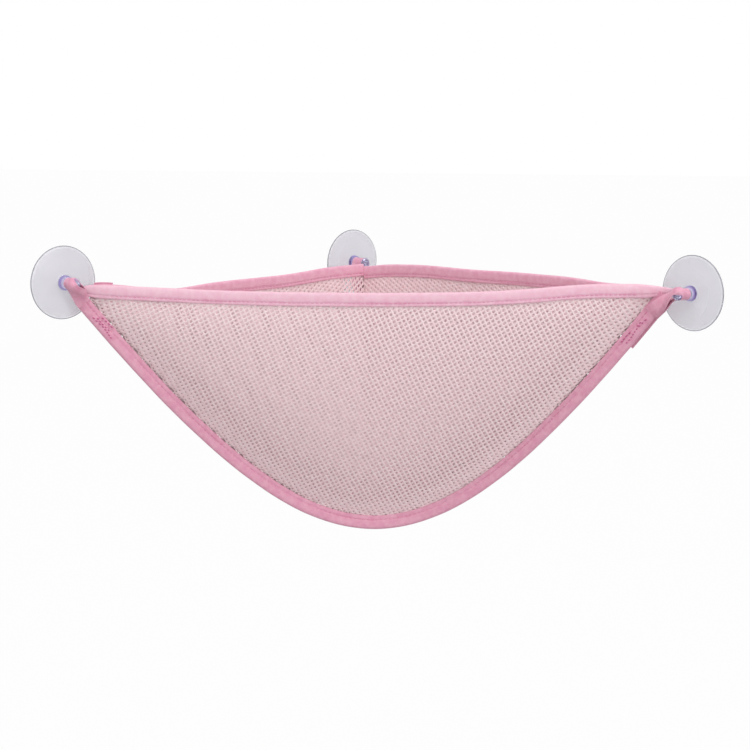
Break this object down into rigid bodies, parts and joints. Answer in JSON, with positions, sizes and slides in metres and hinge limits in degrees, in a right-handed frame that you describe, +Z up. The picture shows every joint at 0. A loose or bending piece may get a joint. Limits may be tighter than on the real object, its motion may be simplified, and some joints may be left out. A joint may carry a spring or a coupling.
{
  "type": "bath toy organizer",
  "caption": "Net bag with tape-bound edges that hangs across a wall corner from clear suction cups held in tape loops, for storing and draining bath toys.",
  "frame": {"origin": "on the line where the two walls of the room corner meet, at the height of the suction cup axes", "axes": "+X to the right along the open front, +Y into the corner, +Z up"},
  "size_m": [0.4568, 0.229, 0.2033],
  "materials": {
    "net": "pale pink knitted mesh, matt",
    "tape": "pink woven binding tape, matt",
    "clear_pvc": "hazy clear soft vinyl, glossy"
  },
  "bodies": {
    "bag": {"front_mesh_panel": "net", "left_back_mesh_panel": "net", "right_back_mesh_panel": "net", "front_hem_binding": "tape", "left_back_hem_binding": "tape", "right_back_hem_binding": "tape", "bottom_seam_binding": "tape", "back_seam_binding": "tape", "left_loop_tail": "tape", "right_loop_tail": "tape"},
    "left_loop": {"left_corner_loop": "tape"},
    "right_loop": {"right_corner_loop": "tape"},
    "back_loop": {"back_corner_loop": "tape"},
    "left_cup": {"left_suction_cup": "clear_pvc"},
    "right_cup": {"right_suction_cup": "clear_pvc"},
    "back_cup": {"back_suction_cup": "clear_pvc"}
  },
  "joints": [
    {"name": "left_loop_swing", "type": "hinge", "parent": "bag", "child": "left_loop", "pos_m": [-0.19282, -0.2071, -0.0083], "axis": [0.7071, -0.7071, 0], "range_deg": [-25, 25]},
    {"name": "right_loop_swing", "type": "hinge", "parent": "bag", "child": "right_loop", "pos_m": [0.19934, -0.21362, -0.00049], "axis": [-0.7071, -0.7071, 0], "range_deg": [-20, 25]},
    {"name": "back_loop_swing", "type": "hinge", "parent": "bag", "child": "back_loop", "pos_m": [-0.02114, -0.03543, -0.01658], "axis": [0.7071, -0.7071, 0], "range_deg": [-20, 20]},
    {"name": "left_cup_spin", "type": "hinge", "parent": "left_loop", "child": "left_cup", "pos_m": [-0.20506, -0.20506, 0], "axis": [0.7071, -0.7071, 0], "continuous": true},
    {"name": "right_cup_spin", "type": "hinge", "parent": "right_loop", "child": "right_cup", "pos_m": [0.21638, -0.21638, 0], "axis": [-0.7071, -0.7071, 0], "continuous": true},
    {"name": "back_cup_spin", "type": "hinge", "parent": "back_loop", "child": "back_cup", "pos_m": [-0.02334, -0.02334, 0], "axis": [0.7071, -0.7071, 0], "continuous": true}
  ]
}
